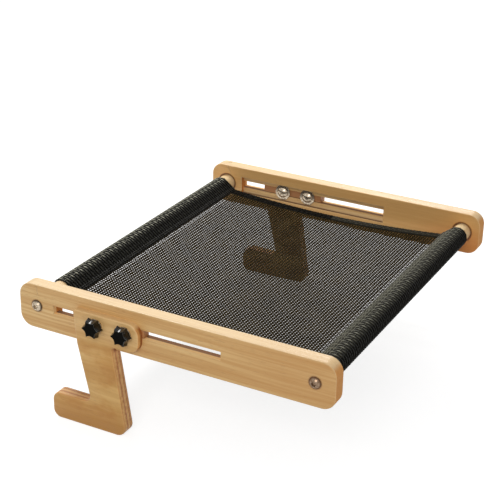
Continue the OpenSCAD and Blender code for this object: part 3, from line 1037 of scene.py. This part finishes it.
def waved_yarn(bench, axis, length, crossings, pitch, rise, section, slim=None):
    """Yarn along an axis, over and under the yarns that cross it; slim narrows it near its ends."""
    line = bench.out("GeometryNodeCurvePrimitiveLine", {"End": bench.toward(axis, length)}, mode="POINTS")
    count = bench.raised(1.0, crossings, 2.0)
    even = bench.out("GeometryNodeResampleCurve", {"Curve": line, "Count": count}, mode="COUNT")
    spot = position(bench)[axis]
    turns = bench.minus(bench.over(spot, pitch), 0.5)
    wave = bench.maths("COSINE", bench.times(turns, math.pi))
    lift = bench.toward(Z, bench.times(wave, rise))
    waved = bench.out("GeometryNodeSetPosition", {"Geometry": even, "Offset": lift})
    level = bench.out("GeometryNodeSetCurveNormal", {"Curve": waved}, mode="Z_UP")
    if slim is not None:
        edge = bench.maths("MINIMUM", spot, bench.minus(length, spot))
        inside = bench.above(edge, bench.times(pitch, OPEN_ROWS))
        radius = bench.larger(inside, slim)
        level = bench.out("GeometryNodeSetCurveRadius", {"Curve": level, "Radius": radius})
    return swept(bench, level, section)


def every_second(bench, yarn, axis, first, pitch, count, slim=None):
    """The yarn on every second place across the cloth; slim narrows the first and the last one."""
    step = bench.toward(axis, bench.times(pitch, 2.0))
    row = {"Count": count, "Start Location": bench.toward(axis, first), "Offset": step}
    places = bench.out("GeometryNodeMeshLine", row, mode="OFFSET", count_mode="TOTAL")
    laid = {"Points": places, "Instance": yarn}
    if slim is not None:
        index = bench.out("GeometryNodeInputIndex")
        past_first = bench.above(index, 0.5)
        before_last = bench.below(index, bench.minus(count, 1.5))
        share = bench.larger(bench.times(past_first, before_last), slim)
        laid["Scale"] = bench.out("ShaderNodeCombineXYZ", {0: share, 1: 1.0, 2: 1.0})
    return bench.out("GeometryNodeInstanceOnPoints", laid)


def woven_cloth_tree():
    """Plain weave bent along a profile line: X is the way along the profile, Y the way across it."""
    bench, given = geometry_tree(
        "woven_cloth",
        ("Girth", "Length", "Start", "Width Along", "Width Round", "Yarn Crown", "Yarn Rise", "Slim Edge"),
        ("Yarns Along", "Yarns Round"),
    )
    slim, rise = given["Slim Edge"], given["Yarn Rise"]
    fall = bench.times(rise, -1.0)
    gap_x = bench.over(given["Girth"], given["Yarns Along"])
    gap_y = bench.over(given["Length"], given["Yarns Round"])
    cloth = bench.put("GeometryNodeJoinGeometry")
    runs = (
        (Y, "Length", "Yarns Round", gap_y, X, gap_x, "Yarns Along", "Width Along", (rise, fall), None, slim),
        (X, "Girth", "Yarns Along", gap_x, Y, gap_y, "Yarns Round", "Width Round", (fall, rise), slim, None),
    )
    for axis, length, crossings, pitch, aside, gap, total, width, waves, slim_ends, slim_edge in runs:
        section = yarn_section(bench, given[width], given["Yarn Crown"])
        half = bench.over(given[total], 2.0)
        counts = (bench.maths("CEIL", half), bench.maths("FLOOR", half))
        way = (axis, given[length], given[crossings], pitch)
        for k in range(2):
            yarn = waved_yarn(bench, *way, waves[k], section, slim_ends)
            first = bench.times(gap, 0.5 + k)
            laid = every_second(bench, yarn, aside, first, gap, counts[k], slim_edge)
            bench.tree.links.new(laid, cloth.inputs[0])
    flat = bench.out("GeometryNodeRealizeInstances", {"Geometry": cloth.outputs[0]})
    stored = {"Geometry": flat, "Name": YARN_HEIGHT, "Value": position(bench)[Z]}
    whole = bench.out("GeometryNodeStoreNamedAttribute", stored, data_type="FLOAT", domain="POINT")
    profile = bench.out("GeometryNodeMeshToCurve", {"Mesh": given["Geometry"]})
    spot = position(bench)
    run = {"Curves": profile, "Length": spot[X]}
    sample = bench.put("GeometryNodeSampleCurve", run, mode="LENGTH").outputs
    outward = bench.vectors("CROSS_PRODUCT", sample["Tangent"], (0.0, 1.0, 0.0))
    lift = bench.out("ShaderNodeVectorMath", {0: outward, "Scale": spot[Z]}, operation="SCALE")
    width = bench.toward(Y, bench.plus(spot[Y], given["Start"]))
    bent = bench.vectors("ADD", bench.vectors("ADD", sample["Position"], lift), width)
    shaped = bench.out("GeometryNodeSetPosition", {"Geometry": whole, "Position": bent})
    return ended_tree(bench, given, shaped)


def stitch_run_tree():
    """Row of short stitches along a line: each is a thread that rises from the cloth and goes back in."""
    bench, given = geometry_tree("stitch_run", ("Stitch", "Gap", "Thread"))
    half = bench.times(given["Stitch"], 0.5)
    ends = {"Start": bench.toward(X, bench.times(half, -1.0)), "End": bench.toward(X, half)}
    top = bench.toward(Z, bench.times(given["Thread"], STITCH_BOW))
    bow = bench.out("GeometryNodeCurveQuadraticBezier", {"Resolution": 4, "Middle": top, **ends})
    circle = {"Resolution": 5, "Radius": bench.times(given["Thread"], 0.5)}
    thread = swept(bench, bow, bench.out("GeometryNodeCurvePrimitiveCircle", circle, mode="RADIUS"))
    line = bench.out("GeometryNodeMeshToCurve", {"Mesh": given["Geometry"]})
    pitch = bench.plus(given["Stitch"], given["Gap"])
    spots = bench.put("GeometryNodeCurveToPoints", {"Curve": line, "Length": pitch}, mode="LENGTH").outputs
    turn = bench.out("FunctionNodeAlignRotationToVector", {"Vector": spots["Tangent"]}, axis="X")
    laid = {"Points": spots["Points"], "Instance": thread, "Rotation": turn}
    row = bench.out("GeometryNodeInstanceOnPoints", laid)
    return ended_tree(bench, given, bench.out("GeometryNodeRealizeInstances", {"Geometry": row}))


WOVEN_CLOTH = woven_cloth_tree()
STITCH_RUN = stitch_run_tree()


def made_by_nodes(points, tree, values):
    """Plain mesh that a node tree makes from a line."""
    holder = linked("follow", profile_mesh(points))
    maker = holder.modifiers.new("maker", "NODES")
    maker.node_group = tree
    for item in tree.interface.items_tree:
        if item.in_out == "INPUT" and item.name in values:
            maker[item.identifier] = values[item.name]
    mesh = plain_mesh(holder)
    shape = bmesh.new()
    shape.from_mesh(mesh)
    bmesh.ops.recalc_face_normals(shape, faces=shape.faces)
    shape.to_mesh(mesh)
    shape.free()
    return mesh


# Sling and sleeves

MESH_WIDTHS = (0.0029, 0.0029)
MESH_CROWN = 0.00055
MESH_TUCK = 0.002
SLIM_EDGE = 0.6
SLEEVE_WIDTHS = (0.0010, 0.0044)
SLEEVE_PITCHES = (0.0062, 0.0047)
SLEEVE_CROWN = 0.0011
LINING_STATIONS = 60
# Layers of a sleeve: radius, reach to the seam and half of the seam's thickness
LINING_OUTSIDE = (DOWEL_R + 0.0010, SEAM_REACH, 0.0008)
LINING_INSIDE = (DOWEL_R + 0.0004, SEAM_REACH - 0.0045, 0.0001)
SLEEVE_WRAP = (DOWEL_R + 0.0013, SEAM_REACH, 0.0011)
STITCH_LAYER = (SLEEVE_OUT_R + 0.0003, SEAM_REACH, FABRIC + 0.0003)
HEM_GAP = 0.0003
HEM_HALF = 0.0006
HEM_YARN_LIFT = 0.0009
HEM_REACH = SEAM_X - HEM_GAP
SEAM_ROWS = (0.0015, 0.0040)
ROW_MARGIN = 0.003
STITCH_SIZES = {"Stitch": 0.0030, "Gap": 0.0012, "Thread": 0.0006}
# Upper half of a hem's section: shares of its width and of its thickness
HEM_SECTION = ((0.0, 0.5), (0.02, 0.85), (0.06, 1.0), (0.94, 1.0), (0.98, 0.85), (1.0, 0.5))


def woven(line, start, length, widths, crown, material, slim_edge=1.0, pitches=(PITCH, PITCH)):
    """Woven cloth along a profile line, from start along Y; widths and pitches are along Y and round."""
    girth = line_length(line)
    values = {
        "Girth": girth,
        "Length": length,
        "Start": start,
        "Yarns Along": max(2, round(girth / pitches[0])),
        "Yarns Round": max(2, round(length / pitches[1])),
        "Width Along": widths[0],
        "Width Round": widths[1],
        "Yarn Crown": crown,
        "Yarn Rise": YARN_RISE,
        "Slim Edge": slim_edge,
        "Material": material,
    }
    return made_by_nodes([(x, 0.0, z) for x, z in line], WOVEN_CLOTH, values)


def shell(outer, inner, start, stop, stations):
    """Closed wall between two lines of the same count, drawn along Y."""
    shape = bmesh.new()
    rows = []
    for k in range(stations + 1):
        y = start + (stop - start) * k / stations
        rows.append([[shape.verts.new((x, y, z)) for x, z in line] for line in (outer, inner)])
    for part in zip(*rows):
        skin(shape, *part)
    for row in (rows[0], rows[-1]):
        skin(shape, *row)
    return closed(shape, "shell")


def strip(upper, lower, start, stop):
    """Flat closed strip between two arcs, with soft long edges."""
    around = list(HEM_SECTION)
    around += [(share, 1.0 - lift) for share, lift in reversed(around)]
    shape = bmesh.new()
    rows = []
    for (x_up, z_up), (x_low, z_low) in zip(upper, lower):
        row = []
        for share, lift in around:
            y = start + (stop - start) * share
            row.append(shape.verts.new((x_low + (x_up - x_low) * lift, y, z_low + (z_up - z_low) * lift)))
        rows.append(row)
    skin(shape, *rows)
    shape.faces.new(rows[0])
    shape.faces.new(rows[-1])
    bmesh.ops.remove_doubles(shape, verts=shape.verts, dist=MERGE)
    return closed(shape, "strip")


def sleeves():
    for end in ENDS:
        node = f"{end}_sleeve"
        start = SLEEVE_FRONT[end]
        length = SLING_BACK - start
        sides = (sleeve_line(end, *layer) for layer in (LINING_OUTSIDE, LINING_INSIDE))
        wall = shell(*sides, start, SLING_BACK, LINING_STATIONS)
        lining = piece(f"{node}_lining", wall, LINING, "frame", "sleeve_fabric", node)
        weave = woven(
            sleeve_line(end, *SLEEVE_WRAP), start, length, SLEEVE_WIDTHS, SLEEVE_CROWN, SLEEVE_YARN,
            pitches=SLEEVE_PITCHES,
        )
        wrap = piece(f"{node}_weave", weave, SLEEVE_YARN, "frame", "sleeve_fabric")


def sling():
    start = SLING_FRONT + HEM_WIDTH + HEM_GAP
    length = SLING_BACK - SLING_FRONT - 2 * HEM_WIDTH - 2 * HEM_GAP
    line = sling_line(0.0, SEAM_X + MESH_TUCK)
    weave = woven(line, start, length, MESH_WIDTHS, MESH_CROWN, MESH_YARN, SLIM_EDGE)
    panel = piece("sling_mesh_weave", weave, MESH_YARN, "frame", "sling_mesh", "mesh_panel")
    for side, low, high in (
        ("front", SLING_FRONT, SLING_FRONT + HEM_WIDTH),
        ("back", SLING_BACK - HEM_WIDTH, SLING_BACK),
    ):
        band = strip(sling_line(HEM_HALF, HEM_REACH), sling_line(-HEM_HALF, HEM_REACH), low, high)
        piece(f"{side}_hem_strip", band, LINING, "frame", "sleeve_fabric", f"{side}_hem")
        for lift, name in ((HEM_YARN_LIFT, "top"), (-HEM_YARN_LIFT, "under")):
            face = woven(sling_line(lift, HEM_REACH), low, HEM_WIDTH, SLEEVE_WIDTHS, MESH_CROWN, SLEEVE_YARN)
            piece(f"{side}_hem_{name}_weave", face, SLEEVE_YARN, "frame", "sleeve_fabric")


def seam_stitches():
    """Two rows along the upper side of each sleeve's seam."""
    for end in ENDS:
        line = sleeve_line(end, *STITCH_LAYER)
        from_seam = line[::-1] if end == "left" else line
        for row, distance in enumerate(SEAM_ROWS):
            x, z = point_along(from_seam, distance)
            stops = (SLEEVE_FRONT[end] + ROW_MARGIN, 0.0, SLING_BACK - ROW_MARGIN)
            values = {**STITCH_SIZES, "Material": THREAD}
            stitches = made_by_nodes([(x, y, z) for y in stops], STITCH_RUN, values)
            piece(f"{end}_seam_stitches_{row + 1}", stitches, THREAD, "frame", "sleeve_fabric")


wooden_boards()
star_knobs()
metal_pieces()
coat(DOWEL_WOOD, *(f"{end}_dowel" for end in ENDS))
for side, end in CORNERS:
    coat(BRASS, f"{side}_{end}_insert", f"{side}_{end}_knob_nut")
sleeves()
sling()
seam_stitches()


# Floor, light and camera

FLOOR_HEIGHT = cad_low.z - 0.0004
FLOOR_REACH = 30.0
FLOOR_BOUNCE = 0.65
FLOOR_SHADE = 0.42
FLOOR_GLOW = 0.805
SKY_LIGHT = 0.40
SKY_SEEN = 1.0
# Softboxes, all turned to the origin: place, width and power
LAMPS = {
    "overhead softbox": ((-0.88, 0.68, 1.35), 0.4, 16.2),
    "front softbox": ((0.45, -1.60, 1.0), 0.8, 9.5),
    "back softbox": ((-0.45, 1.8, 1.05), 0.6, 8.4),
}
CAMERA_PLACE = (0.64366, -1.28881, 0.69756)
CAMERA_AZIMUTH = math.radians(27.408)
CAMERA_ELEVATION = math.radians(24.311)
CAMERA_ROLL = math.radians(1.198)
CAMERA_LENS = 92.49
CAMERA_SENSOR = 36.0
CAMERA_CLIP = (0.05, 200.0)


def grey(level):
    return (level, level, level, 1.0)


def seen(bench):
    """1 for what the camera, a shine or glass shows, 0 for light that the surface gives to others."""
    path = bench.put("ShaderNodeLightPath").outputs
    shown = bench.larger(path["Is Camera Ray"], path["Is Glossy Ray"])
    return bench.larger(shown, path["Is Transmission Ray"])


def floor():
    """Pale floor: white to the camera, with the soft shadow kept."""
    mesh = bpy.data.meshes.new("floor")
    signs = ((-1, -1), (1, -1), (1, 1), (-1, 1))
    corners = [(x * FLOOR_REACH, y * FLOOR_REACH, FLOOR_HEIGHT) for x, y in signs]
    mesh.from_pydata(corners, [], [(0, 1, 2, 3)])
    plane = linked("floor", mesh)
    material = bpy.data.materials.new("floor_pale")
    material.use_nodes = True
    bench = Bench(material.node_tree)
    bench.tree.nodes.clear()
    matte = bench.out("ShaderNodeBsdfDiffuse", {"Color": grey(FLOOR_BOUNCE)})
    shade = bench.out("ShaderNodeBsdfDiffuse", {"Color": grey(FLOOR_SHADE)})
    glow = bench.out("ShaderNodeEmission", {"Color": grey(1.0), "Strength": FLOOR_GLOW})
    shown = bench.out("ShaderNodeAddShader", {0: shade, 1: glow})
    surface = bench.out("ShaderNodeMixShader", {0: seen(bench), 1: matte, 2: shown})
    bench.put("ShaderNodeOutputMaterial", {"Surface": surface})
    mesh.materials.append(material)


def sky():
    world = bpy.data.worlds.new("studio")
    world.use_nodes = True
    bpy.context.scene.world = world
    bench = Bench(world.node_tree)
    background = bench.tree.nodes["Background"].inputs
    background["Color"].default_value = grey(1.0)
    strength = bench.raised(SKY_LIGHT, seen(bench), SKY_SEEN - SKY_LIGHT)
    bench.tree.links.new(strength, background["Strength"])


def softboxes():
    for name, (place, width, power) in LAMPS.items():
        light = bpy.data.lights.new(name, "AREA")
        light.shape = "SQUARE"
        light.size = width
        light.energy = power
        lamp = linked(name, light)
        lamp.location = place
        lamp.rotation_euler = (-Vector(place)).to_track_quat("-Z", "Y").to_euler()


def camera():
    """The photograph's own viewing angle."""
    turn = Matrix.Rotation(CAMERA_AZIMUTH, 4, "Z")
    turn @= Matrix.Rotation(math.pi / 2 - CAMERA_ELEVATION, 4, "X")
    turn @= Matrix.Rotation(CAMERA_ROLL, 4, "Z")
    lens = bpy.data.cameras.new("camera")
    lens.sensor_width = CAMERA_SENSOR
    lens.lens = CAMERA_LENS
    lens.clip_start, lens.clip_end = CAMERA_CLIP
    eye = linked("camera", lens)
    eye.matrix_world = Matrix.Translation(CAMERA_PLACE) @ turn
    bpy.context.scene.camera = eye


floor()
sky()
softboxes()
camera()
bpy.context.scene.view_settings.view_transform = "Standard"
